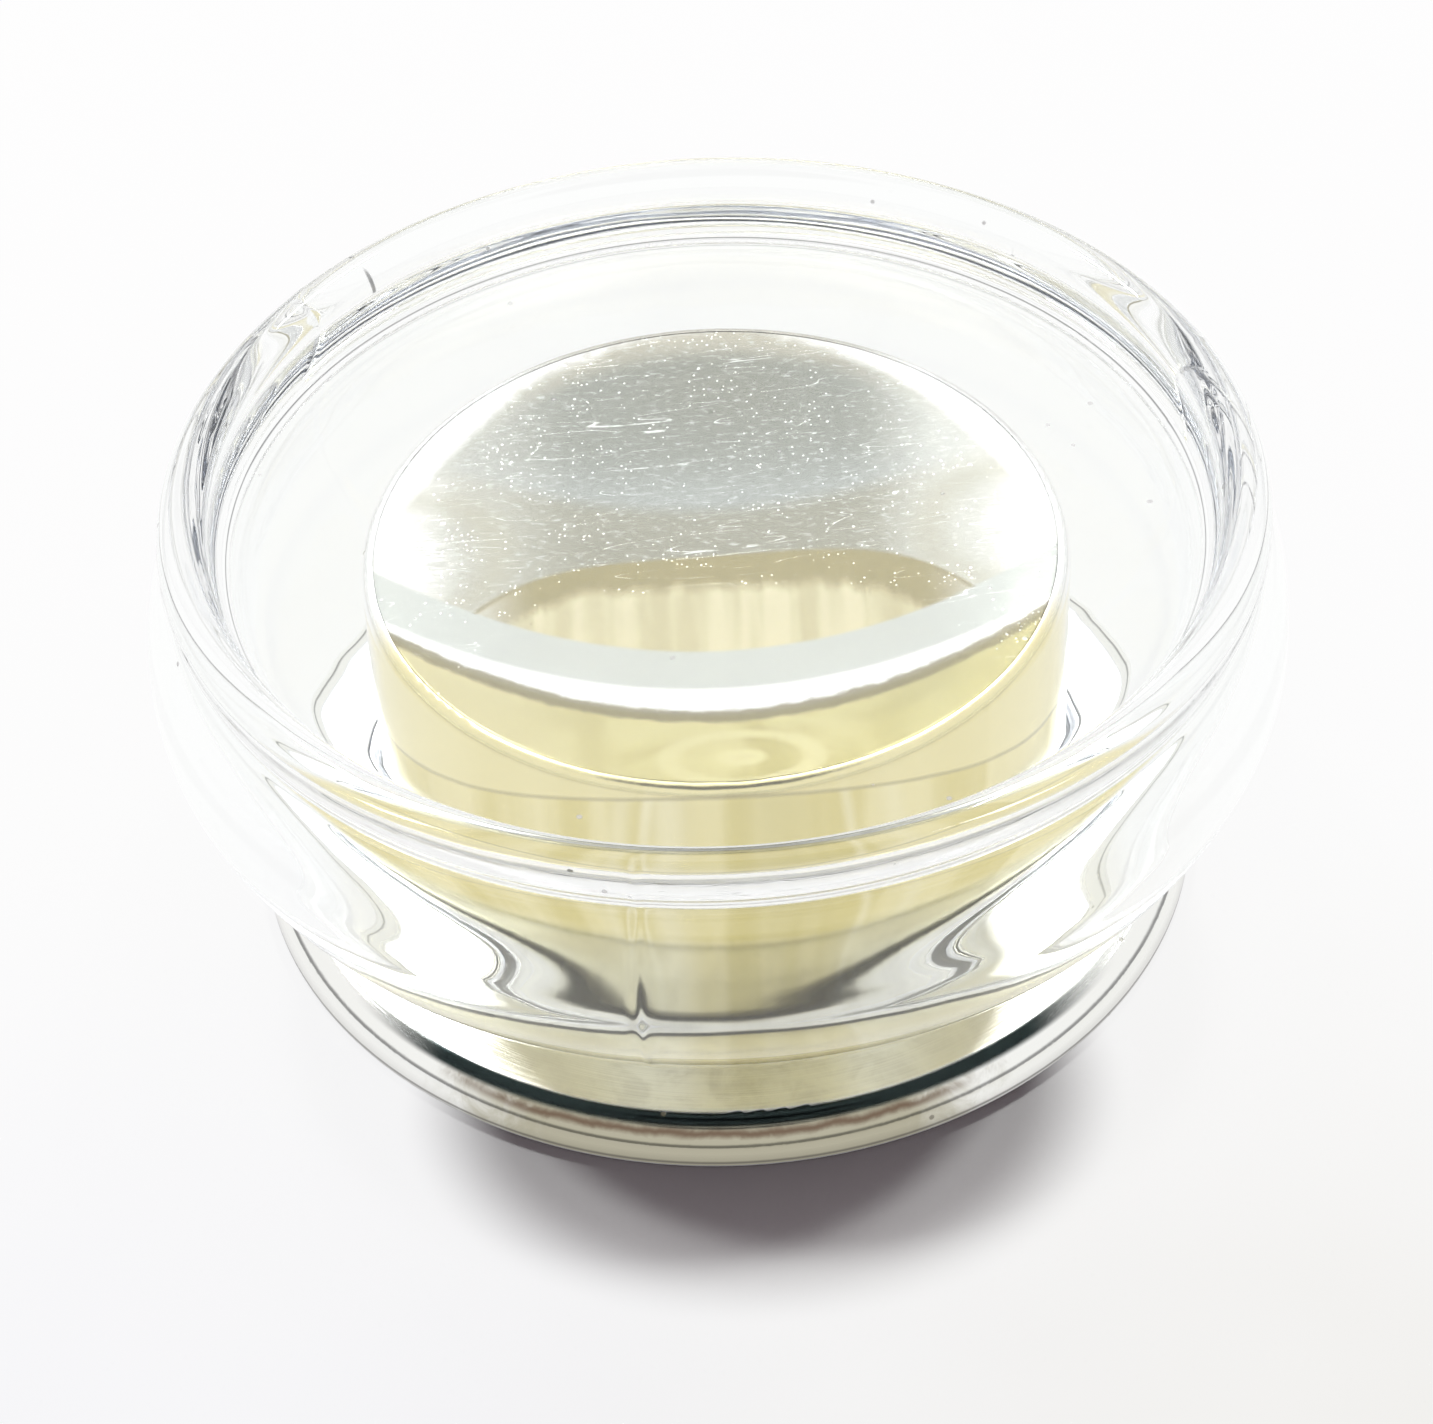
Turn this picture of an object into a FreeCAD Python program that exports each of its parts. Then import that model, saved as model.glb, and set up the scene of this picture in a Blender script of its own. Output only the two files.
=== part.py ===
import FreeCAD, Part
import math
import os
from FreeCAD import Vector

# Dappen dish: a clear pressed-glass dish, hollow underneath, standing over the raised core of a
# shallow metal lid that serves as its stand.
# All lengths are millimetres.  Z is the common axis and z = 0 is the table under the stand.

os.makedirs("parts", exist_ok=True)

# ---- stand shell: a shallow pressed lid, flat on top, rounded at the edge, hemmed below ----
stand_radius = 23.7
stand_height = 2.3
stand_edge_radius = 1.7
sheet = 0.5
hem_gap = 0.15
hem_height = 0.9
hem_round = 0.4

# ---- liner: a disc pressed into the hollow of the lid ----
liner_clearance = 0.45
liner_thickness = 1.2

# ---- core: a gold-coloured drum, closed by a shallow dished disc let into its top ----
core_radius = 17.3
core_height = 18.0
core_wall = 0.5
core_round = 0.6
sleeve_foot_width = 1.5
cap_clearance = 0.03
cap_sheet = 0.45
cap_dish_depth = 0.35
cap_edge_round = 0.08
cap_ledge_width = 1.6

# ---- glass dish: rounded lip over a belly, a shallow well on top, a hollow below ----
lip_radius = 25.6
lip_section = 1.25
lip_height = 21.75
lip_inner_angle = 195.0
lip_outer_angle = -45.0
groove_radius = 26.3
groove_height = 20.0
belly_radius = 28.0
belly_height = 14.5
belly_upper_pull = 4.0
belly_lower_pull = 4.0
foot_shoulder_radius = 19.2
foot_shoulder_height = 0.6
foot_sweep_radius = 22.2
foot_sweep_height = 3.1
foot_outer_radius = 18.6
foot_clearance = 0.4
foot_inner_round = 0.35
foot_heel_pull = 0.4
well_depth_centre = 0.15
well_edge_height = 20.4
well_edge_radius = 23.4
well_corner_pull = 0.9
plate_thickness = 1.6
hollow_radius = 25.2
hollow_height = 13.6
hollow_low_pull = 5.0
hollow_foot_pull = 2.4
hollow_foot_spread = 2.0
hollow_top_pull = 4.6
ceiling_radius = 21.8
ceiling_pull = 2.5


def point(r, z):
    """A point of a half-profile, r from the axis and z up."""
    return Vector(r, 0.0, z)


class Outline:
    """A closed half-profile drawn edge by edge, then turned once round the axis."""

    def __init__(self, r, z):
        self.start = point(r, z)
        self.at = self.start
        self.edges = []

    def line(self, r, z):
        """A straight edge to a point."""
        end = point(r, z)
        self.edges.append(Part.LineSegment(self.at, end).toShape())
        self.at = end
        return self

    def curve(self, *poles):
        """A smooth edge drawn towards the middle poles and ending at the last one."""
        ends = [self.at] + [point(r, z) for r, z in poles]
        bezier = Part.BezierCurve()
        bezier.setPoles(ends)
        self.edges.append(bezier.toShape())
        self.at = ends[-1]
        return self

    def arc(self, r, z, end_angle):
        """A circular edge round (r, z) to an angle in degrees, 0 outwards and 90 up."""
        radius = math.hypot(self.at.x - r, self.at.z - z)
        begin = math.atan2(self.at.z - z, self.at.x - r)
        finish = math.radians(end_angle)
        spots = []
        for turn in (0.5 * (begin + finish), finish):
            spots.append(point(r + radius * math.cos(turn), z + radius * math.sin(turn)))
        self.edges.append(Part.Arc(self.at, spots[0], spots[1]).toShape())
        self.at = spots[1]
        return self

    def turned(self):
        """The solid of revolution of the closed profile."""
        self.line(self.start.x, self.start.z)
        face = Part.Face(Part.Wire(self.edges))
        solid = face.revolve(Vector(0, 0, 0), Vector(0, 0, 1), 360)
        if solid.Volume < 0:
            solid.reverse()
        return solid


# ---- stand shell ----
edge_r = stand_radius - stand_edge_radius
edge_z = stand_height - stand_edge_radius
hem_outer = sheet + 0.5 * hem_gap
hem_leg_r = stand_radius - 2 * hem_outer
plate_bottom = stand_height - sheet

shell = Outline(0, stand_height)
shell.line(edge_r, stand_height)
shell.arc(edge_r, edge_z, 0)
shell.line(stand_radius, hem_round)
shell.curve((stand_radius, 0), (stand_radius - hem_round, 0))
shell.line(hem_leg_r + hem_round, 0)
shell.curve((hem_leg_r, 0), (hem_leg_r, hem_round))
shell.line(hem_leg_r, hem_height)
shell.line(hem_leg_r + sheet, hem_height)
shell.line(hem_leg_r + sheet, hem_outer)
shell.curve(
    (hem_leg_r + sheet, hem_outer - 0.5 * hem_gap),
    (stand_radius - sheet, hem_outer - 0.5 * hem_gap),
    (stand_radius - sheet, hem_outer),
)
shell.line(stand_radius - sheet, edge_z)
shell.arc(edge_r, edge_z, 90)
shell.line(0, plate_bottom)
stand_shell = shell.turned()

# ---- liner disc ----
liner_radius = hem_leg_r - liner_clearance
lining = Outline(0, plate_bottom)
lining.line(liner_radius, plate_bottom)
lining.line(liner_radius, plate_bottom - liner_thickness)
lining.line(0, plate_bottom - liner_thickness)
lid_liner = lining.turned()

# ---- core sleeve ----
ledge_z = core_height - cap_sheet
inner_r = core_radius - core_wall
recess_r = core_radius - core_round
ledge_r = recess_r - cap_ledge_width

sleeve = Outline(core_radius, stand_height)
sleeve.line(core_radius, core_height - core_round)
sleeve.arc(recess_r, core_height - core_round, 90)
sleeve.line(recess_r, ledge_z)
sleeve.line(ledge_r, ledge_z)
sleeve.line(ledge_r, ledge_z - core_wall)
sleeve.line(inner_r - core_wall, ledge_z - core_wall)
sleeve.line(inner_r, ledge_z - 2 * core_wall)
sleeve.line(inner_r, stand_height + core_wall)
sleeve.line(inner_r - sleeve_foot_width, stand_height + core_wall)
sleeve.line(inner_r - sleeve_foot_width, stand_height)
core_sleeve = sleeve.turned()

# ---- core cap ----
cap_radius = recess_r - cap_clearance
cap_bend_r = ledge_r - cap_clearance
dish_z = core_height - cap_dish_depth

cap = Outline(0, dish_z)
cap.curve((0.6 * cap_bend_r, dish_z), (0.8 * cap_bend_r, core_height), (cap_bend_r, core_height))
cap.line(cap_radius - cap_edge_round, core_height)
cap.curve((cap_radius, core_height), (cap_radius, core_height - cap_edge_round))
cap.line(cap_radius, ledge_z)
cap.line(cap_bend_r, ledge_z)
cap.curve((0.8 * cap_bend_r, ledge_z), (0.6 * cap_bend_r, dish_z - cap_sheet), (0, dish_z - cap_sheet))
core_cap = cap.turned()

# ---- glass dish ----
foot_z = stand_height
foot_inner_radius = core_radius + foot_clearance
shoulder_z = foot_z + foot_shoulder_height
well_centre = well_edge_height - well_depth_centre
ceiling_z = well_edge_height - plate_thickness
lip_start = math.radians(lip_inner_angle)
lip_start_r = lip_radius + lip_section * math.cos(lip_start)
lip_start_z = lip_height + lip_section * math.sin(lip_start)

glass = Outline(0, well_centre)
glass.curve(
    (0.45 * well_edge_radius, well_centre),
    (0.75 * well_edge_radius, well_edge_height),
    (well_edge_radius, well_edge_height),
)
glass.curve((well_edge_radius + well_corner_pull, well_edge_height), (lip_start_r, lip_start_z))
glass.arc(lip_radius, lip_height, -270)
glass.arc(lip_radius, lip_height, lip_outer_angle)
glass.curve(
    (groove_radius, groove_height),
    (belly_radius, belly_height + belly_upper_pull),
    (belly_radius, belly_height),
)
glass.curve(
    (belly_radius, belly_height - belly_lower_pull),
    (foot_sweep_radius, foot_z + foot_sweep_height),
    (foot_shoulder_radius, shoulder_z),
)
glass.curve(
    (foot_shoulder_radius - foot_heel_pull, foot_z + 0.8 * foot_shoulder_height),
    (foot_outer_radius + foot_heel_pull, foot_z),
    (foot_outer_radius, foot_z),
)
glass.line(foot_inner_radius + foot_inner_round, foot_z)
glass.curve((foot_inner_radius, foot_z), (foot_inner_radius, foot_z + foot_inner_round))
glass.curve(
    (foot_inner_radius + hollow_foot_spread, foot_z + foot_inner_round + hollow_foot_pull),
    (hollow_radius, hollow_height - hollow_low_pull),
    (hollow_radius, hollow_height),
)
glass.curve(
    (hollow_radius, hollow_height + hollow_top_pull),
    (ceiling_radius + ceiling_pull, ceiling_z),
    (ceiling_radius, ceiling_z),
)
glass.line(0, ceiling_z)
glass_dish = glass.turned()

pieces = {
    "stand_shell": stand_shell,
    "lid_liner": lid_liner,
    "core_sleeve": core_sleeve,
    "core_cap": core_cap,
    "glass_dish": glass_dish,
}
for name, solid in pieces.items():
    box = solid.BoundBox
    assert solid.isValid() and len(solid.Solids) == 1, name
    solid.exportStep("parts/" + name + ".step")
    print(name, round(solid.Volume, 1), "mm3", round(box.XLength, 2), round(box.ZMin, 2), round(box.ZMax, 2))
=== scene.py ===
# %% [markdown]
# # A glass dish on its metal stand
# A small dish of clear pressed glass stands over the gold-coloured core of a shallow metal lid.
# Almost everything that is seen here is seen through glass, so the lesson is mostly about two
# things: a smooth, exact shape for the glass, and metals with enough fine detail to be worth
# looking at through it.

import math

import bpy
import numpy as np
from mathutils import Matrix, Vector


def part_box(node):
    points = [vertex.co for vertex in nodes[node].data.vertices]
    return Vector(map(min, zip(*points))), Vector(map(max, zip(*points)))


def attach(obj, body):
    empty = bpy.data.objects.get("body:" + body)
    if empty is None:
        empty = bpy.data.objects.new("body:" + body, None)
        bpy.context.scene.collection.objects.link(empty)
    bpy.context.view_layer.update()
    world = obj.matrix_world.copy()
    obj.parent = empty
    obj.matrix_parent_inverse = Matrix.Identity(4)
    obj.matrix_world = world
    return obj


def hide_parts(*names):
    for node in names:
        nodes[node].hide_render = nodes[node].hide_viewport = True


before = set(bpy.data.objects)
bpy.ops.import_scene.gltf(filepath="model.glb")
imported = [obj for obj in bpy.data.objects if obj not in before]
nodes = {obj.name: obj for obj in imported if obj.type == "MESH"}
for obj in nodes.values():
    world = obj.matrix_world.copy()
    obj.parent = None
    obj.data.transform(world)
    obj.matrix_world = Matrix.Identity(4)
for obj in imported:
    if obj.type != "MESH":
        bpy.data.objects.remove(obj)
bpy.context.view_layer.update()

# %% [markdown]
# ## The camera
# A product is best looked at from a chair at the table: the lens is long, it looks down at a little
# over forty degrees, and the head is held a touch to one side. A camera looks along its own -Z, so
# its matrix is made of three unit vectors: to the right, up, and back from where it looks. The
# lens is shifted, so that the point aimed at comes a little above the middle of the frame.

# %% Camera
looks_down = math.radians(42.25)
head_tilt = math.radians(-2.5)
distance = 0.220
aim = Vector((0, 0, 0.012))
image_width = 1433
image_height = 1424
focal_in_widths = 3.0907
aim_across = 0.50205
aim_down = 0.45432

ahead = Vector((0, math.cos(looks_down), -math.sin(looks_down)))
level_right = Vector((1, 0, 0))
level_up = level_right.cross(ahead)
right = math.cos(head_tilt) * level_right + math.sin(head_tilt) * level_up
up = -math.sin(head_tilt) * level_right + math.cos(head_tilt) * level_up
eye = aim - ahead * distance

lens = bpy.data.cameras.new("table_view")
lens.sensor_width = 36
lens.lens = 36 * focal_in_widths
lens.shift_x = 0.5 - aim_across
lens.shift_y = (aim_down - 0.5) * image_height / image_width
lens.clip_start = 0.01
camera = bpy.data.objects.new("table_view", lens)
bpy.context.scene.collection.objects.link(camera)
camera.matrix_world = Matrix(
    (
        (right.x, up.x, -ahead.x, eye.x),
        (right.y, up.y, -ahead.y, eye.y),
        (right.z, up.z, -ahead.z, eye.z),
        (0, 0, 0, 1),
    )
)
bpy.context.scene.camera = camera
print("the camera stands", round(distance * 1000), "mm away, with a", round(lens.lens), "mm lens")

# %% [markdown]
# ## Profiles
# Every piece of this object was turned or pressed round one axis, so a piece is a half-profile, a
# line of (radius, height) points, carried once round. The profile is joined up from short smooth
# runs. A Bezier run starts at its first pole, ends at its last and leans towards those between,
# which is how a glass mould is usually drawn.

# %% Runs of a profile
MM = 0.001


def bezier(*poles, steps):
    """The sum over k of C(n, k) t^k (1 - t)^(n - k) times pole k, for t from 0 to 1."""
    t = np.linspace(0, 1, steps)[:, None]
    n = len(poles) - 1
    shares = [math.comb(n, k) * t**k * (1 - t) ** (n - k) for k in range(n + 1)]
    return np.sum([share * np.array(pole) for share, pole in zip(shares, poles)], axis=0)


def arc(r, z, radius, begin, finish, steps):
    """Points at (r + radius cos a, z + radius sin a), for a from begin to finish in degrees."""
    a = np.radians(np.linspace(begin, finish, steps))
    return np.stack([r + radius * np.cos(a), z + radius * np.sin(a)], axis=1)


def join(*runs):
    """The runs one after the other, each without its first point when that repeats the last one."""
    parts = [runs[0]]
    for run in runs[1:]:
        repeats = np.allclose(run[0], parts[-1][-1], atol=1e-4)
        parts.append(run[1:] if repeats else run)
    return np.concatenate(parts)


# %% [markdown]
# ## Turning a profile into a skin
# A turned surface is the point (r cos a, r sin a, z) for every profile point and every angle a.
# The two ends of the profile here lie on the axis, and each becomes one vertex, so that the skin
# has no pinhole. The angles needn't be even: they crowd together where a mould seam is drawn.

# %% Turned skins


def skin(name, profile, angles, swell=None):
    """Vertices (r cos a, r sin a, z), closed by one vertex at each end of the profile; swell adds
    to r an array of millimetres, one for each profile point and angle."""
    inner = profile[1:-1]
    r = np.repeat(inner[:, :1], len(angles), axis=1)
    z = np.repeat(inner[:, 1:], len(angles), axis=1)
    if swell is not None:
        r = r + swell(inner, angles)
    ring = np.stack([r * np.cos(angles), r * np.sin(angles), z], axis=2).reshape(-1, 3)
    ends = np.array([[0, 0, profile[0, 1]], [0, 0, profile[-1, 1]]])
    points = np.concatenate([ring, ends]) * MM
    rows, cols = len(inner), len(angles)
    index = np.arange(rows * cols).reshape(rows, cols)
    after = np.roll(index, -1, axis=1)
    quads = np.stack([index[:-1], index[1:], after[1:], after[:-1]], axis=2).reshape(-1, 4)
    first = np.stack([np.full(cols, rows * cols), index[0], after[0]], axis=1)
    last = np.stack([np.full(cols, rows * cols + 1), after[-1], index[-1]], axis=1)
    mesh = bpy.data.meshes.new(name)
    mesh.from_pydata(points.tolist(), [], quads.tolist() + first.tolist() + last.tolist())
    mesh.update()
    mesh.polygons.foreach_set("use_smooth", np.ones(len(mesh.polygons), bool))
    piece = bpy.data.objects.new(name, mesh)
    bpy.context.scene.collection.objects.link(piece)
    print(name, "has", 2 * len(quads) + 2 * cols, "triangles")
    return piece


# %% [markdown]
# ## The glass
# The dish is pressed: a rounded lip, a belly that bulges out below it and sweeps in to a narrow
# foot, a shallow well on top and a roomy hollow underneath. Where the three parts of the mould
# met, a hair-thin seam stands up on the outside. Refraction shows every facet, so the profile has
# its points close together on the tight curves and the skin is shaded smooth.

# %% Glass sizes
foot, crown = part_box("glass_dish")
foot_z = foot.z / MM
belly_r = crown.x / MM
crown_z = crown.z / MM
lip_round = 1.25
lip_r = 25.6
lip_z = crown_z - lip_round
groove_r = 26.3
groove_z = 20.0
belly_z = 14.5
belly_pull = 4.0
well_r = 23.4
well_z = 20.4
well_dip = 0.15
heel_r = 19.2
heel_z = foot_z + 0.6
sole_r = 18.6
toe_round = 0.35
hollow_r = 25.2
hollow_z = 13.6
ceiling_r = 21.8
ceiling_z = 18.8
clearance = 0.4
throat_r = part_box("core_sleeve")[1].x / MM + clearance
toe_z = foot_z + toe_round
print("the glass goes from", round(foot_z, 2), "to", round(crown_z, 2), "mm")
print("its belly is", round(2 * belly_r, 1), "mm across")

# %% Glass profile
lip_in = arc(lip_r, lip_z, lip_round, 195, 90, 20)
lip_out = arc(lip_r, lip_z, lip_round, 90, -45, 24)
well_low = well_z - well_dip
well = bezier((0, well_low), (10.5, well_low), (17.5, well_z), (well_r, well_z), steps=22)
well_corner = bezier((well_r, well_z), (24.3, well_z), tuple(lip_in[0]), steps=10)
groove = (groove_r, groove_z)
widest = (belly_r, belly_z)
above_widest = (belly_r, belly_z + belly_pull)
below_widest = (belly_r, belly_z - belly_pull)
shoulder = bezier(tuple(lip_out[-1]), groove, above_widest, widest, steps=28)
belly = bezier(widest, below_widest, (22.2, foot_z + 3.1), (heel_r, heel_z), steps=40)
heel = bezier((heel_r, heel_z), (18.8, foot_z + 0.48), (19.0, foot_z), (sole_r, foot_z), steps=8)
toe = bezier((throat_r + toe_round, foot_z), (throat_r, foot_z), (throat_r, toe_z), steps=6)
hollow_top = (hollow_r, hollow_z)
flare = (throat_r + 2.0, toe_z + 2.4)
hollow = bezier((throat_r, toe_z), flare, (hollow_r, hollow_z - 5.0), hollow_top, steps=32)
dome_edge = (ceiling_r + 2.5, ceiling_z)
dome = bezier(hollow_top, (hollow_r, hollow_z + 4.6), dome_edge, (ceiling_r, ceiling_z), steps=34)
ceiling = np.stack([np.linspace(ceiling_r, 0, 10), np.full(10, ceiling_z)], axis=1)
top_runs = (well, well_corner, lip_in)
outer_runs = (lip_out, shoulder, belly, heel)
glass_profile = join(*top_runs, *outer_runs, toe, hollow, dome, ceiling)
crown_row = len(join(*top_runs)) - 2
sole_row = len(join(*top_runs, *outer_runs)) - 4
print("the glass profile has", len(glass_profile), "points")

# %% Mould seams
seam_angles = np.radians([-99.0, 21.0, 141.0])
seam_height = 0.045
seam_width = 0.30
set_back = 0.03
steady_r = 15
swell_reach = 13
beside_seam = np.radians([-1.1, -0.75, -0.5, -0.3, -0.15, 0, 0.15, 0.3, 0.5, 0.75, 1.1])
even = np.linspace(-math.pi, math.pi, 330, endpoint=False)
nearest = np.min(np.abs(even[:, None] - seam_angles), axis=1)
between_seams = even[nearest > math.radians(1.3)]
at_seams = np.add.outer(seam_angles, beside_seam).ravel()
glass_angles = np.sort(np.concatenate([between_seams, at_seams]))
print(len(seam_angles), "seams and", len(glass_angles), "angles round the glass")


def pressed(inner, angles):
    """The seam height times exp(-(a r / width)^2), a from the nearest seam, on the outside only,
    and a slow swell of a few hundredths of a millimetre, because a mould is never quite round.
    The outside is set back by about as much as it swells."""
    r, z = inner[:, :1], inner[:, 1:]
    turn = np.min(np.abs(angles[:, None] - seam_angles), axis=1)[None, :]
    row = np.arange(len(inner))[:, None]
    outside = (row > crown_row) & (row < sole_row)
    ridge = seam_height * np.exp(-((turn * r / seam_width) ** 2)) * outside
    slow = 0.02 * np.sin(3 * angles + 0.4 * z) + 0.012 * np.sin(7 * angles - 0.9 * z)
    swell = np.where(r > steady_r, slow * (r - steady_r) / swell_reach, 0)
    return swell - set_back * outside + ridge


glass = skin("pressed_glass", glass_profile, glass_angles, pressed)
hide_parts("glass_dish")
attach(glass, "dish")

# %% [markdown]
# ## Shader maths
# A finish is easier to read as arithmetic than as a web of nodes. `Value` wraps one socket, and
# adding, multiplying or comparing values adds the Math nodes. Any other node comes from
# `Finish.node`: its settings first, then what goes into its sockets.

# %% Value and Finish


class Value:
    """The output of a shader node, with arithmetic."""

    def __init__(self, finish, socket):
        self.finish = finish
        self.socket = socket

    def maths(self, operation, *terms):
        """One Math node, with the terms in its sockets."""
        return self.finish.node("ShaderNodeMath", {"operation": operation}, dict(enumerate(terms)))

    def __add__(self, other):
        return self.maths("ADD", self, other)

    def __sub__(self, other):
        return self.maths("SUBTRACT", self, other)

    def __rsub__(self, other):
        return self.maths("SUBTRACT", other, self)

    def __mul__(self, other):
        return self.maths("MULTIPLY", self, other)

    def __truediv__(self, other):
        return self.maths("DIVIDE", self, other)

    def __pow__(self, other):
        return self.maths("POWER", self, other)

    def __gt__(self, other):
        return self.maths("GREATER_THAN", self, other)

    def __lt__(self, other):
        return self.maths("LESS_THAN", self, other)

    def __abs__(self):
        return self.maths("ABSOLUTE", self)

    def most(self, other):
        """The larger of the two."""
        return self.maths("MAXIMUM", self, other)

    __radd__ = __add__


class Finish:
    """A material under construction."""

    def __init__(self, name, owner=None):
        self.material = owner or bpy.data.materials.new(name)
        self.material.use_nodes = True
        self.tree = self.material.node_tree
        self.tree.nodes.clear()

    def node(self, kind, settings=None, inputs=None, output=0):
        """One node: settings are its attributes, inputs map a socket's name or number to a value
        or a link, and the result is the chosen output as a Value."""
        made = self.tree.nodes.new(kind)
        for key, value in (settings or {}).items():
            setattr(made, key, value)
        for key, value in (inputs or {}).items():
            if isinstance(value, Value):
                self.tree.links.new(value.socket, made.inputs[key])
            else:
                made.inputs[key].default_value = value
        return Value(self, made.outputs[output]) if made.outputs else None

    def place(self):
        """Object coordinates: metres in the frame of the object."""
        return self.node("ShaderNodeTexCoord", output="Object")

    def place_in_mm(self):
        """The same place in millimetres, in which the patterns on the metal are laid out."""
        inputs = {0: self.place(), "Scale": 1000.0}
        return self.node("ShaderNodeVectorMath", {"operation": "SCALE"}, inputs)

    def apart(self, vector):
        """The three numbers of a vector."""
        made = self.node("ShaderNodeSeparateXYZ", inputs={0: vector})
        return tuple(Value(self, socket) for socket in made.socket.node.outputs)

    def together(self, x, y, z):
        """A vector of three numbers."""
        return self.node("ShaderNodeCombineXYZ", inputs={0: x, 1: y, 2: z})

    def length(self, x, y):
        """The square root of x^2 + y^2."""
        flat = {0: self.together(x, y, 0.0)}
        return self.node("ShaderNodeVectorMath", {"operation": "LENGTH"}, flat, output="Value")

    def cosine(self, first, second):
        """The cosine of the angle between two unit vectors."""
        both = {0: first, 1: second}
        return self.node("ShaderNodeVectorMath", {"operation": "DOT_PRODUCT"}, both, output="Value")

    def waves(self, phase):
        """The sine of the phase, in radians."""
        return self.node("ShaderNodeMath", {"operation": "SINE"}, {0: phase})

    def light_path(self, name):
        """What is known of the ray that asks: 1 or 0 for its kind, or a count for its depth."""
        return self.node("ShaderNodeLightPath", output=name)

    def noise(self, vector, scale, detail=2.0, rough=0.5, warp=0.0):
        """Cloudy noise round 0.5, scale lumps to a unit of the vector."""
        inputs = {"Vector": vector, "Scale": scale, "Detail": detail, "Roughness": rough}
        return self.node("ShaderNodeTexNoise", inputs={**inputs, "Distortion": warp})

    def smooth(self, value, low, high):
        """0 below low, 1 above high and an S-curve between."""
        return self.node(
            "ShaderNodeMapRange",
            {"interpolation_type": "SMOOTHSTEP"},
            {"Value": value, "From Min": low, "From Max": high},
        )

    def near(self, value, centre, reach):
        """1 where value is centre, falling softly to 0 at reach on either side."""
        return 1 - self.smooth(abs(value - centre), 0.0, reach)

    def under(self, value, low, high):
        """1 below low, 0 above high and an S-curve between."""
        return 1 - self.smooth(value, low, high)

    def blend(self, factor, first, second):
        """A colour from first to second as factor goes from 0 to 1."""
        pair = [each if isinstance(each, Value) else (*each, 1) for each in (first, second)]
        inputs = {0: factor, 6: pair[0], 7: pair[1]}
        return self.node("ShaderNodeMix", {"data_type": "RGBA"}, inputs, output=2)

    def mix(self, factor, first, second):
        """A shader that is the first where factor is 0 and the second where it is 1."""
        return self.node("ShaderNodeMixShader", inputs={0: factor, 1: first, 2: second})

    def bump(self, height, strength, depth):
        """A normal tilted by the slope of height, which is depth metres tall."""
        inputs = {"Height": height, "Strength": strength, "Distance": depth}
        return self.node("ShaderNodeBump", inputs=inputs)

    def specks(self, vector, scale, size, share):
        """Round specks: the cells of a Voronoi pattern whose own random number is under share, each
        filled out to size from its centre."""
        cells = self.node("ShaderNodeTexVoronoi", inputs={"Vector": vector, "Scale": scale})
        cell_colour = Value(self, cells.socket.node.outputs["Color"])
        chance = self.node("ShaderNodeSeparateColor", inputs={0: cell_colour})
        grain = Value(self, chance.socket.node.outputs[1])
        return self.under(cells, size * 0.5, size) * (chance < share) * (grain * 0.6 + 0.4)

    def surface(self, **inputs):
        """The Principled shader; an underscore in a name stands for a space."""
        inputs = {key.replace("_", " "): value for key, value in inputs.items()}
        return self.node("ShaderNodeBsdfPrincipled", inputs=inputs)

    def wear(self, piece, shader):
        """Gives the shader to the material, and the material to the piece."""
        self.node("ShaderNodeOutputMaterial", inputs={0: shader})
        piece.data.materials.clear()
        piece.data.materials.append(self.material)
        print(self.material.name, "has", len(self.tree.nodes), "nodes")


white = (1.0, 1.0, 1.0)


# %% [markdown]
# ## Clear glass
# Pressed glass is clear but never perfect: the mould leaves a slow ripple in the skin, the cut-off
# point leaves a small swirl, fingers leave smears, and dust settles in the well. The ripple and the
# swirl go into a bump, the smears into the roughness, and the dust is a thin dull shader mixed in.
# A ray that only asks whether a lamp is in sight goes straight through, hardly dimmed, so that the
# glass itself casts next to no shadow.

# %% Glass finish
clean_tint = (0.985, 0.992, 0.986)
smeared_tint = (0.965, 0.972, 0.970)
shadow_tint = (0.94, 0.945, 0.94, 1)
dust_grey = (0.86, 0.87, 0.86, 1)
clear = Finish("clear_glass")
spot = clear.place()
x, y, z = clear.apart(spot)
ripple = clear.noise(spot, 190.0, 1.0, 0.4)
tall_ripple = clear.noise(clear.together(x * 260.0, y * 260.0, z * 60.0), 1.0, 1.0, 0.4)
from_swirl = clear.length(x - 0.0008, y + 0.0165)
rings = clear.waves(from_swirl * 5200.0)
swirl = rings * clear.under(from_swirl, 0.0005, 0.0052) * (z > 0.0185)
skin_height = ripple * 0.7 + tall_ripple * 0.5 + swirl * 0.035
smear = clear.smooth(clear.noise(spot, 70.0, 4.0, 0.6, 0.6), 0.56, 0.74)
dust = clear.specks(spot, 900.0, 0.16, 0.05) + clear.specks(spot, 330.0, 0.09, 0.04)
resting = dust * (z > 0.019) * 0.8
glass_shader = clear.surface(
    Base_Color=clear.blend(smear, clean_tint, smeared_tint),
    Roughness=smear * 0.035,
    IOR=1.52,
    Transmission_Weight=1.0,
    Normal=clear.bump(skin_height, 0.35, 0.0001),
)
dust_shader = clear.surface(Base_Color=dust_grey, Roughness=0.9)
dusty_glass = clear.mix(resting, glass_shader, dust_shader)
let_through = clear.node("ShaderNodeBsdfTransparent", inputs={0: shadow_tint})
clear.wear(glass, clear.mix(clear.light_path("Is Shadow Ray"), dusty_glass, let_through))

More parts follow.
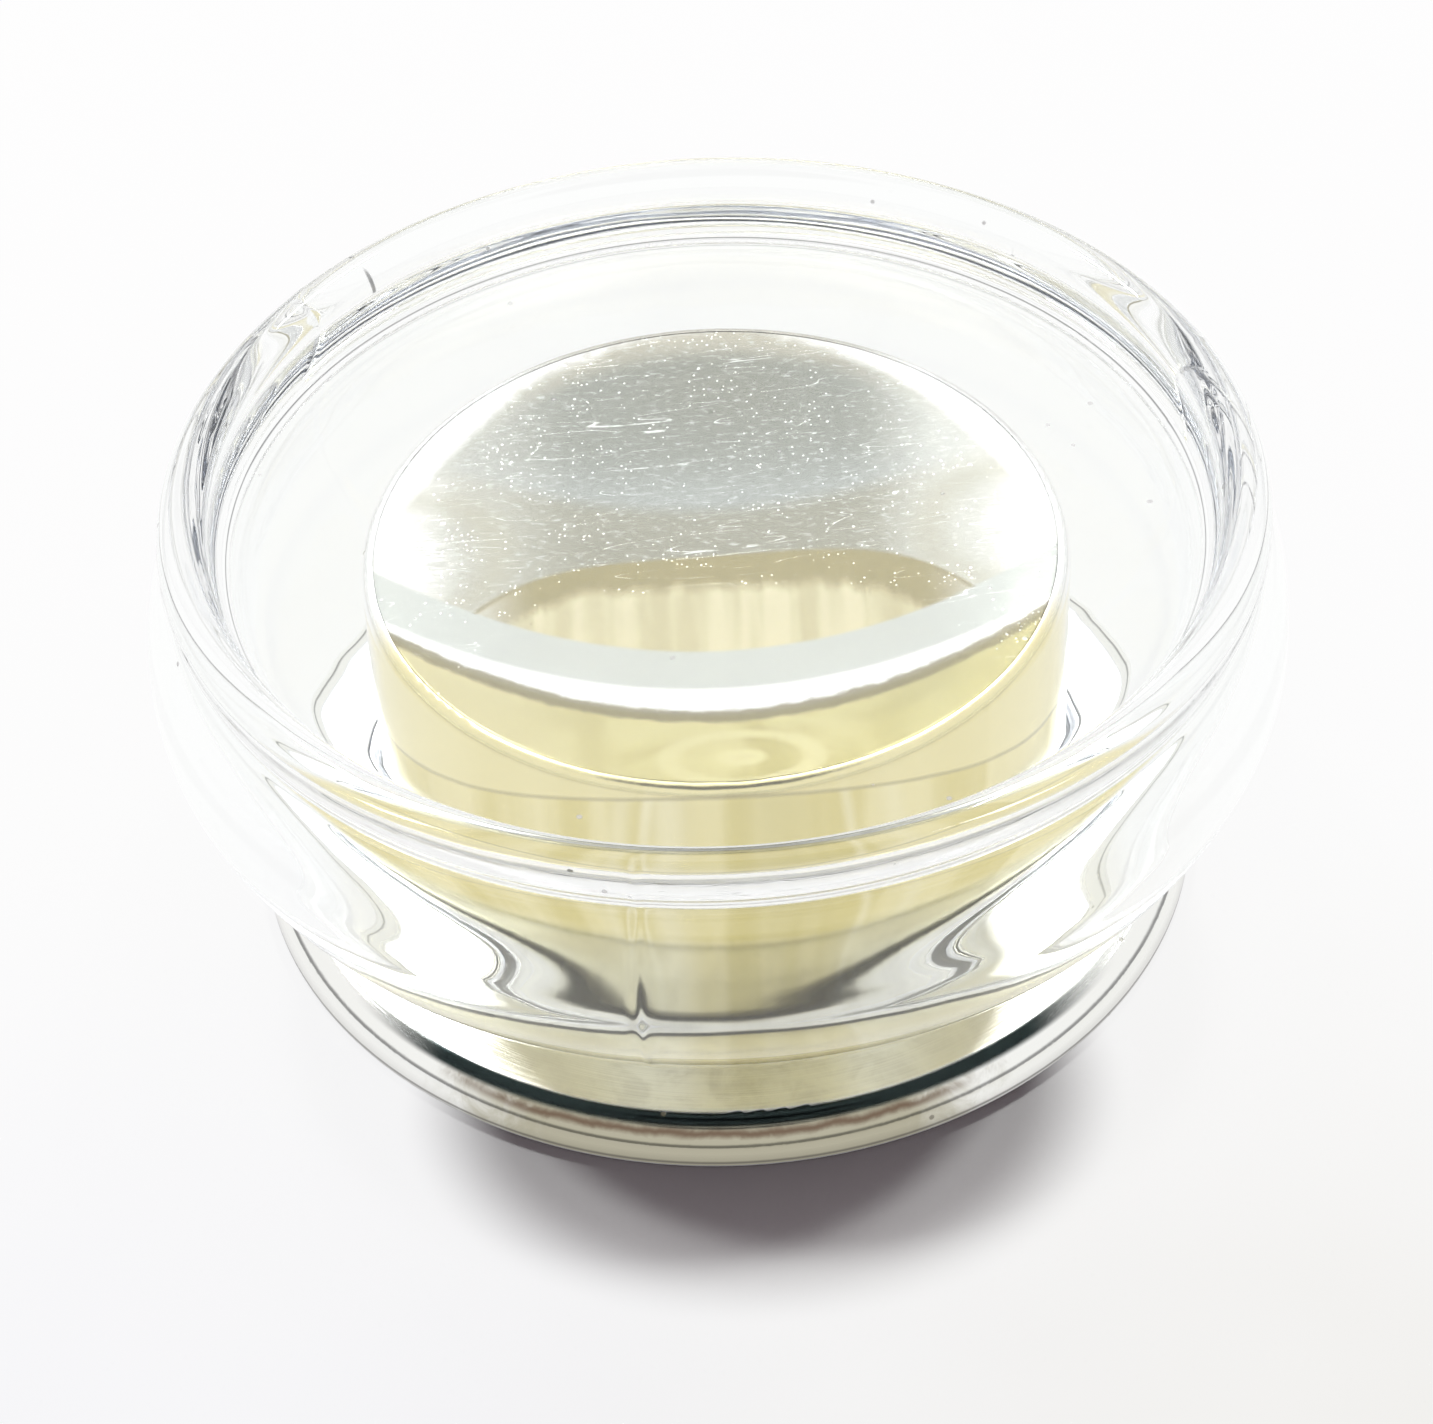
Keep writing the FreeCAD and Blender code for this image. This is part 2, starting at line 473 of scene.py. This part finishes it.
# %% [markdown]
# ## Gold lacquer
# The core is a drum of sheet metal under a clear yellow lacquer. It was drawn over a punch, which
# leaves soft streaks up the wall. A painted shade line, highest in front and behind, dips towards
# the flanks, and above it the wall is painted lighter, as a shoulder that catches the light. A dull
# and a bright stripe run up the middle, with thin bright lines on either side of them, which bow
# inwards above and below: painted reflections. On the flanks and the rim the lacquer has worn down
# to pale metal, painted near white as a highlight, with a painted dark reflection at the far end of
# the rim. Behind and at the foot it has thinned, and low down beside the middle it is painted
# lighter to lift the shade between the wall and the lid. The patterns are laid out in millimetres.

# %% Gold finish
light_gold = (0.88, 0.80, 0.47)
deep_gold = (0.76, 0.67, 0.31)
reflected_pale_gold = (0.94, 0.88, 0.62)
reflected_dull_gold = (0.66, 0.58, 0.25)
shade_line_brown = (0.45, 0.40, 0.24)
fill_straw = (1.0, 0.96, 0.70)
foot_metal = (0.95, 0.945, 0.88)
flank_highlight_metal = (0.93, 0.92, 0.88)
rim_reflection_grey = (0.62, 0.60, 0.54)
pit_brown = (0.32, 0.28, 0.18)
gold = Finish("gold_lacquer")
spot = gold.place_in_mm()
x, y, z = gold.apart(spot)
streak = gold.noise(gold.together(x * 0.42, y * 0.42, z * 0.02), 1.0, 2.0, 0.5, 0.3)
fine_streak = gold.noise(gold.together(x * 2.2, y * 2.2, z * 0.1), 1.0, 3.0, 0.6)
bowed = (z - 11.0) ** 2 * 0.012
# Painted reflections: a dull and a bright stripe up the middle, and thin bright lines beside them.
dark_reflected_stripe = gold.near(x, 2.2, 3.4)
light_reflected_stripe = gold.near(x, -2.7, 1.7)
inner_reflected_lines = gold.near(abs(x - 0.9) + bowed, 5.0, 0.45)
outer_reflected_lines = gold.near(abs(x - 1.4) + bowed, 6.6, 0.8)
thin_reflected_lines = inner_reflected_lines + outer_reflected_lines * 0.8
# A painted shade line that dips towards the flanks, with the wall painted lighter above it.
shade_line_level = 17.6 - x**2 * 0.0225 - z
painted_lit_shoulder = gold.under(shade_line_level, -0.12, 0.12)
wall_shade_line = gold.near(shade_line_level, 0.0, 0.22)
wall_gold = gold.blend(gold.smooth(streak, 0.35, 0.65), deep_gold, light_gold)
wall_gold = gold.blend(dark_reflected_stripe * 0.55, wall_gold, reflected_dull_gold)
wall_gold = gold.blend(light_reflected_stripe * 0.7 + thin_reflected_lines * 0.55, wall_gold, reflected_pale_gold)
wall_gold = gold.blend(painted_lit_shoulder * 0.85, wall_gold, light_gold)
wall_gold = gold.blend(wall_shade_line * 0.6, wall_gold, shade_line_brown)
# Painted light: low down beside the middle the wall is lighter, to lift the shade near the lid.
painted_fill_low = gold.under(z, 6.0, 11.5) * gold.smooth(abs(x - 1.2), 2.5, 5.5)
wall_gold = gold.blend(painted_fill_low * 0.75, wall_gold, fill_straw)
wall_gold = gold.blend(gold.under(z, 2.7, 3.6) * 0.8, wall_gold, foot_metal)
# Worn pale metal on the flanks and rim, painted near white as a highlight; far rim is a painted
# dark reflection.
bare_back = gold.smooth(y, -6.5, -2.0)
pale_flanks_and_highlight = bare_back * (1 - gold.smooth(y, 5.0, 10.0) * 0.6)
wall_gold = gold.blend(pale_flanks_and_highlight, wall_gold, flank_highlight_metal)
worn_rim_and_highlight = gold.smooth(z, 17.2, 17.5) * gold.smooth(y, -8.0, -3.0)
rim_highlight_and_reflection = gold.blend(gold.smooth(y, 12.5, 16.0), white, rim_reflection_grey)
wall_gold = gold.blend(worn_rim_and_highlight, wall_gold, rim_highlight_and_reflection)
pits = gold.specks(spot, 0.7, 0.13, 0.05)
gold_shader = gold.surface(
    Base_Color=gold.blend(pits * 0.6, wall_gold, pit_brown),
    Metallic=1.0,
    Roughness=0.16 + fine_streak * 0.08 + pits * 0.3,
    Coat_Weight=0.2,
    Coat_Roughness=0.1,
    Normal=gold.bump(streak * 0.5 + fine_streak * 0.1, 0.3, 0.0003),
)
gold.wear(nodes["core_sleeve"], gold_shader)

# %% [markdown]
# ## The worn disc
# The disc on top was lacquered gold too. Over its far part the lacquer is gone: a hill of bare
# metal, brushed from side to side, scratched and powdered with dust, browner towards the gold. The
# grey is painted darker up the hill as a dark reflection, and painted white beyond the hill and at
# both ends, with a white glint in a brown loop at each end, as highlights. Its near part has kept
# the gold, first striped and then marbled, with a painted rounded edge between the two: a grey arc
# of shade, a white arc of highlight and a dark arc of shade. Each border is a curve
# y = a + b x^2 + c x^4, and how far a point lies over or under it is worked out first.

# %% Disc finish
disc = Finish("worn_disc")
spot = disc.place_in_mm()
x, y, z = disc.apart(spot)
from_axis = disc.length(x, y)
cloud = disc.noise(spot, 0.16, 4.0, 0.6, 0.4)
fine_cloud = disc.noise(spot, 0.9, 4.0, 0.65, 0.3)
strokes = disc.noise(disc.together(x * 0.7, y * 9.0, 0.0), 1.0, 3.0, 0.6)
flecks = disc.noise(disc.together(x * 1.6, y * 4.0, 7.0), 1.0, 4.0, 0.7)
ragged = (cloud - 0.5) * 1.2 + (fine_cloud - 0.5) * 0.5
# Borders of a painted rounded edge: a dark, a white and a grey arc.
over_dark_arc = y + 12.1 - x**2 * 0.026
over_highlight_arc = y + 10.2 - x**2 * 0.0215
over_shade_arc = y + 7.5 - x**2 * 0.0235
frayed = disc.noise(disc.together(x * 1.1, y * 0.12, 5.0), 1.0, 3.0, 0.6) - 0.5
under_gold = -2.7 - x**4 * 0.00025 - y + ragged * 0.7 + frayed * 1.6
under_brown = x * 0.045 - 0.4 - x**4 * 0.00017 - y
under_sheen = 3.0 - y + x**2 * 0.02
highlight_beyond_hill = y + x**2 * 0.043 + x**4 * 0.00006 - 16.9

# %% Colours of the bare metal, with painted reflections and highlights
light_grey = (0.85, 0.86, 0.83)
warm_grey = (0.85, 0.85, 0.80)
hill_grey = (0.425, 0.445, 0.43)
hilltop_reflection_grey = (0.295, 0.305, 0.27)
olive_grey = (0.27, 0.275, 0.235)
sheen_brown = (0.335, 0.32, 0.245)
border_brown = (0.56, 0.53, 0.43)
glint_loop_brown = (0.50, 0.48, 0.38)
fleck_grey = (0.70, 0.73, 0.72)
highlight_metal_white = (0.97, 0.97, 0.96)
# Painted reflection: the grey darkens up the hill, and most of all near its top.
hill = disc.smooth(y + ragged * 2.0, 2.0, 9.0)
bare = disc.blend(hill, hill_grey, hilltop_reflection_grey)
dark_spot = disc.length(x - 0.5, (y - 12.4) * 1.3)
shadowed = disc.under(dark_spot + ragged * 2.0, 1.0, 6.5)
bare = disc.blend(shadowed * 0.85, bare, olive_grey)
bare = disc.blend(disc.smooth(from_axis, 13.8, 16.5) * 0.85, bare, border_brown)
bare = disc.blend(disc.smooth(under_sheen, -0.8, 0.8) * 0.8, bare, sheen_brown)
bare = disc.blend(disc.smooth(flecks, 0.52, 0.68) * 0.5, bare, fleck_grey)
# Painted highlights: white at both ends and beyond the hill, lighter towards the ends, and a white
# glint in a brown loop at each end.
from_left_glint = disc.length(x + 15.0, y + 0.2)
from_right_glint = disc.length(x - 14.9, y - 0.5)
glint_loops = disc.near(from_left_glint + ragged, 4.4, 1.7) + disc.near(from_right_glint + ragged, 4.4, 1.7)
painted_highlight_sides = disc.smooth(abs(x - 0.4) + ragged * 2.0, 12.0, 16.0) * disc.under(y, 3.0, 9.5)
bare = disc.blend(painted_highlight_sides * 0.9, bare, highlight_metal_white)
bare = disc.blend(disc.smooth(x + ragged * 2.5, 7.5, 12.5) * 0.4, bare, light_grey)
bare = disc.blend(disc.smooth(abs(x), 6.0, 12.0) * 0.35, bare, warm_grey)
bare = disc.blend(glint_loops * 0.5, bare, glint_loop_brown)
painted_glints = disc.under(from_left_glint + ragged, 0.5, 2.6) + disc.under(from_right_glint + ragged, 0.5, 2.6)
painted_glints = painted_glints * disc.smooth(strokes + fine_cloud * 0.4, 0.60, 0.78)
bare = disc.blend(painted_glints, bare, white)
bare = disc.blend(disc.smooth(highlight_beyond_hill + ragged * 1.5, -0.9, 0.7), bare, white)

# %% Gold that is left, and a painted rounded edge
gold_stripe = (0.58, 0.53, 0.34)
light_stripe = (0.70, 0.65, 0.45)
brown_edge = (0.36, 0.315, 0.17)
end_highlight_white = (0.80, 0.80, 0.77)
shade_arc_grey = (0.60, 0.62, 0.59)
left_gold = (0.58, 0.53, 0.32)
marbled_gold = (0.49, 0.44, 0.20)
lighter_gold = (0.59, 0.54, 0.285)
right_gold = (0.43, 0.395, 0.205)
swirl_gold = (0.62, 0.57, 0.325)
dark_arc_brown = (0.25, 0.22, 0.13)
stripes = disc.noise(disc.together(x * 0.55, y * 0.03, 0.0), 1.0, 2.0, 0.5)
kept_gold = disc.blend(disc.smooth(stripes, 0.38, 0.62), gold_stripe, light_stripe)
shade = disc.blend(disc.smooth(under_brown, -0.15, 0.25), bare, brown_edge)
shade = disc.blend(disc.smooth(under_gold, -0.7, 0.7), shade, kept_gold)
# Painted highlight: the brown border turns pale at both ends.
highlight_at_ends = disc.smooth(abs(x - 0.6), 9.0, 14.0)
shade = disc.blend(disc.smooth(under_brown, 0.0, 0.6) * highlight_at_ends * 0.9, shade, end_highlight_white)
# Painted rounded edge: a grey arc of shade, then a white arc of highlight.
shade = disc.blend(disc.under(over_shade_arc, -0.15, 0.25), shade, shade_arc_grey)
shade = disc.blend(disc.under(over_highlight_arc, -0.2, 0.2), shade, white)
from_swirl = disc.length(x - 0.8, (y + 15.1) * 2.1)
swirl = disc.smooth(disc.waves(from_swirl * 2.3 + ragged * 1.3), -0.3, 0.9)
swirl = swirl * disc.under(from_swirl, 3.5, 7.5)
marbling = disc.smooth(disc.noise(spot, 0.22, 3.0, 0.5, 0.5), 0.38, 0.62)
near_gold = disc.blend(marbling, marbled_gold, lighter_gold)
near_gold = disc.blend(disc.smooth(x, -12.0, -2.0), left_gold, near_gold)
near_gold = disc.blend(disc.smooth(x, 4.0, 11.0) * 0.8, near_gold, right_gold)
near_gold = disc.blend(swirl * 0.9, near_gold, swirl_gold)
shade = disc.blend(disc.under(over_dark_arc, -0.15, 0.15), shade, near_gold)
# Painted shade: a dark arc along the near gold's far border.
dark_arc_shade = disc.under(abs(over_dark_arc + (fine_cloud - 0.5) * 0.6 + 0.05), 0.22, 0.62)
shade = disc.blend(dark_arc_shade * 0.9, shade, dark_arc_brown)

# %% Dust and scratches
scratch_light = (0.92, 0.93, 0.92)
dust_white = (1.0, 1.0, 0.99)
on_bare = disc.under(under_gold, -0.5, 0.5)
along_scratch = disc.together(x * 0.07 + y * 0.02, y * 0.75 - x * 0.07, 3.0)
scratch_line = abs(disc.noise(along_scratch, 1.0, 1.0, 0.5) - 0.5)
scratch = disc.under(scratch_line, 0.0006, 0.0028) * on_bare * disc.smooth(fine_cloud, 0.42, 0.56)
clusters = disc.noise(spot, 0.42, 3.0, 0.6)
dusty = (disc.smooth(clusters, 0.46, 0.64) * 0.38 + 0.04) * on_bare
fine_grit = disc.specks(spot, 4.2, 0.30, dusty)
grit = fine_grit + disc.specks(spot, 2.2, 0.22, dusty * 0.35)
grit = grit + disc.specks(spot, 0.9, 0.14, dusty * 0.2)
shade = disc.blend(scratch * 0.7, shade, scratch_light)
shade = disc.blend(grit * 0.75, shade, dust_white)
disc_shader = disc.surface(
    Base_Color=shade,
    Metallic=1 - grit * 0.9,
    Roughness=0.14 + strokes * 0.06 + grit * 0.4,
    Normal=disc.bump(strokes * 0.5 - scratch * 0.4 + grit, 0.25, 0.00006),
)
disc.wear(nodes["core_cap"], disc_shader)

# %% [markdown]
# ## The stand
# The lid under the dish is turned metal: a matt ring on top, brushed round and round, and a
# polished rolled edge. The mask between them is the height, because the edge curls down from the
# flat. The edge has a painted reflection of the table and room: bright to left and right, olive in
# front with a brown line, and black in front where it begins to curl. It is darker at the hem, with
# a dark line just above. The flat has tarnished in patches, and is duller in front.

# %% Stand finish
bright_roll = (0.90, 0.90, 0.87)
olive_roll = (0.47, 0.445, 0.34)
reflected_line_brown = (0.14, 0.08, 0.05)
painted_black_reflection = (0.025, 0.035, 0.035)
hem_line = (0.10, 0.09, 0.08)
hem_grey = (0.20, 0.195, 0.19)
clean_flat = (0.83, 0.84, 0.88)
stained_flat = (0.64, 0.64, 0.66)
brushed_flat = (0.95, 0.96, 0.97)
dull_flat = (0.56, 0.535, 0.45)
nick_brown = (0.22, 0.20, 0.16)
steel = Finish("plated_steel")
spot = steel.place_in_mm()
x, y, z = steel.apart(spot)
from_axis = steel.length(x, y)
lid_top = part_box("stand_shell")[1].z / MM
flat_mask = steel.smooth(z, lid_top - 0.02, lid_top - 0.004)
brushed = steel.noise(steel.together(from_axis * 11.0, x * 0.12, y * 0.12), 1.0, 3.0, 0.6)
mottle = steel.noise(spot, 0.5, 5.0, 0.65, 0.5)
tarnish = steel.smooth(mottle, 0.42, 0.68)
nicks = steel.specks(spot, 1.1, 0.2, 0.06)
# Painted reflection in the polished edge: olive in front with a brown line, black where it curls.
olive_reflection_middle = steel.under(abs(x + 1.0) + (mottle - 0.5) * 6.0, 9.0, 14.0)
roll = steel.blend(olive_reflection_middle, bright_roll, olive_roll)
reflected_brown_line = steel.near(z + (mottle - 0.5) * 0.4, 1.84, 0.26) * olive_reflection_middle
roll = steel.blend(reflected_brown_line * 0.85, roll, reflected_line_brown)
reflection_front = steel.under(abs(x), 14.0, 19.0) * steel.under(y, -14.0, -8.0)
roll = steel.blend(steel.smooth(z, 1.95, 2.12) * reflection_front, roll, painted_black_reflection)
roll = steel.blend(steel.near(z, 0.42, 0.16) * 0.7, roll, hem_line)
roll = steel.blend(steel.under(z, 0.2, 0.3), roll, hem_grey)
flat = steel.blend(tarnish * 0.6, clean_flat, stained_flat)
flat = steel.blend(steel.smooth(brushed, 0.35, 0.7) * 0.45, flat, brushed_flat)
dull_front = steel.smooth(from_axis, 18.8, 19.6) * steel.under(y, -12.0, -7.0)
dull_ends = steel.smooth(x, -14.5, -11.0) * steel.under(x, 16.0, 18.5)
dull_sides = steel.smooth(abs(x - 1.0), 5.0, 10.0) * dull_ends
flat = steel.blend(dull_front * dull_sides * 0.65, flat, dull_flat)
metal = steel.blend(flat_mask, roll, flat)
metal = steel.blend(nicks * 0.7, metal, nick_brown)
steel_shader = steel.surface(
    Base_Color=metal,
    Metallic=1.0,
    Roughness=0.08 + flat_mask * 0.20 + tarnish * 0.05 + nicks * 0.3,
    Normal=steel.bump(brushed * flat_mask + tarnish * 0.15 - nicks, 0.3, 0.00005),
)
steel.wear(nodes["stand_shell"], steel_shader)

# %% [markdown]
# ## The liner
# A disc of white foam is pressed into the lid's hollow. It shows only from below, as a fine closed
# cell pattern with a few dents.

# %% Liner finish
dented_foam = (0.80, 0.79, 0.75)
clean_foam = (0.90, 0.89, 0.86)
foam = Finish("liner_foam")
spot = foam.place()
cells = foam.node("ShaderNodeTexVoronoi", inputs={"Vector": spot, "Scale": 2600.0})
dents = foam.noise(spot, 240.0, 3.0, 0.6)
foam_shader = foam.surface(
    Base_Color=foam.blend(dents, dented_foam, clean_foam),
    Roughness=0.75 + dents * 0.15,
    Normal=foam.bump(cells * 0.6 + dents * 0.8, 0.5, 0.00012),
)
foam.wear(nodes["lid_liner"], foam_shader)

# %% [markdown]
# ## The table
# The dish stands on a plain pale table that runs out to white behind it. The colour of the table
# does this, not the lamps: paper that is whiter further back. Beyond a patch in front of the lid
# the paper also glows by itself, so only that patch keeps the shadow that the lamps cast.

# %% Table
reach = 1.6
table_mesh = bpy.data.meshes.new("table")
corners = [(-reach, -reach, 0), (reach, -reach, 0), (reach, reach, 0), (-reach, reach, 0)]
table_mesh.from_pydata(corners, [], [(0, 1, 2, 3)])
table = bpy.data.objects.new("table", table_mesh)
bpy.context.scene.collection.objects.link(table)
left_paper = (0.93, 0.93, 0.96)
right_paper = (0.88, 0.87, 0.84)
light_paper = (0.97, 0.97, 0.97)
far_paper = (0.99, 0.99, 0.99)
paper = Finish("table_paper")
spot = paper.place()
x, y, z = paper.apart(spot)
back = paper.smooth(y, -0.055, 0.005)
side = paper.smooth(x, -0.03, 0.03)
tone = paper.noise(spot, 26.0, 3.0, 0.5)
near_tone = paper.blend(side, left_paper, right_paper)
near_tone = paper.blend(paper.smooth(tone, 0.3, 0.7) * 0.5, near_tone, light_paper)
paper_shader = paper.surface(
    Base_Color=paper.blend(back, near_tone, far_paper),
    Roughness=0.8,
    Normal=paper.bump(paper.noise(spot, 2500.0, 2.0), 0.1, 0.00003),
)
from_patch = paper.length((x - 0.0012) / 0.0155, (y + 0.019) / 0.0125)
beyond_patch = paper.smooth(from_patch, 0.78, 1.15)
in_mirror = paper.light_path("Is Glossy Ray")
in_view = paper.light_path("Is Camera Ray").most(paper.light_path("Is Transmission Ray"))
first_look = paper.light_path("Diffuse Depth") < 0.5
beyond_lid = paper.smooth(paper.length(x, y), 0.020, 0.026)
glow_share = first_look * (in_view * beyond_patch * 0.9 + in_mirror * beyond_lid)
glow_colour = paper.blend(back, near_tone, white)
glow = paper.node("ShaderNodeEmission", inputs={0: glow_colour, 1: 1.0})
paper.wear(table, paper.mix(glow_share, paper_shader, glow))

# %% [markdown]
# ## Light
# Two soft windows stand behind the dish, left and right, and the room around is pale. Glass shows
# whatever is round it, so the room that glass and metal see has a dim patch in its ceiling and a
# dim skirting: without them a clear thing on a white table has no outline at all. Matt things get
# only a faint light from the room, so that the windows still cast a shadow.

# %% Windows
window_watts = 1.2
window_size = 0.05
windows = {"window_left": (-0.151, 0.309, 0.491), "window_right": (0.112, 0.325, 0.491)}
for window_name, place in windows.items():
    lamp = bpy.data.lights.new(window_name, "AREA")
    lamp.energy = window_watts
    lamp.size = window_size
    window = bpy.data.objects.new(window_name, lamp)
    bpy.context.scene.collection.objects.link(window)
    window.location = place
    window.rotation_euler = (-Vector(place)).to_track_quat("-Z", "Y").to_euler()
print(len(windows), "windows of", window_watts, "W")

# %% Room
room = bpy.data.worlds.new("room")
bpy.context.scene.world = room
walls = Finish("room", room)
room_light = (0.235, 0.20, 0.215)
dim_grey = (0.03, 0.03, 0.035)
facing = walls.node("ShaderNodeTexCoord", output="Generated")
dim_raised = math.radians(80)
dim_rim = math.cos(math.radians(22))
dim_core = math.cos(math.radians(13))
overhead = (0.0, -math.cos(dim_raised), math.sin(dim_raised))
dim_ceiling = walls.smooth(walls.cosine(facing, overhead), dim_rim, dim_core)
height = walls.apart(facing)[2]
dim_skirting = walls.under(height, 0.10, 0.24) * 0.7
dimness = dim_ceiling.most(dim_skirting)
seen = walls.blend(dimness, white, dim_grey)
straight = walls.light_path("Diffuse Depth") < 0.5
glossy_ray = walls.light_path("Is Glossy Ray")
mirror = glossy_ray.most(walls.light_path("Is Transmission Ray")) * straight
lit = walls.blend(mirror, room_light, seen)
shown = walls.blend(walls.light_path("Is Camera Ray"), lit, white)
backdrop = walls.node("ShaderNodeBackground", inputs={0: shown, 1: 1.0})
walls.node("ShaderNodeOutputWorld", inputs={0: backdrop})
bpy.context.scene.view_settings.view_transform = "Standard"

# %% [markdown]
# ## Bounces
# A ray can be caught inside the lip for dozens of turns, and where it runs out of bounces it ends
# as a black line, so the limit is high. Caustics are off: the glass finish lets the light of the
# windows straight through to the table instead.

# %% Bounces
bounces = 36
cycles = bpy.context.scene.cycles
cycles.max_bounces = bounces
cycles.glossy_bounces = bounces
cycles.transmission_bounces = bounces
cycles.caustics_reflective = False
cycles.caustics_refractive = False
print("a ray may bounce", bounces, "times")
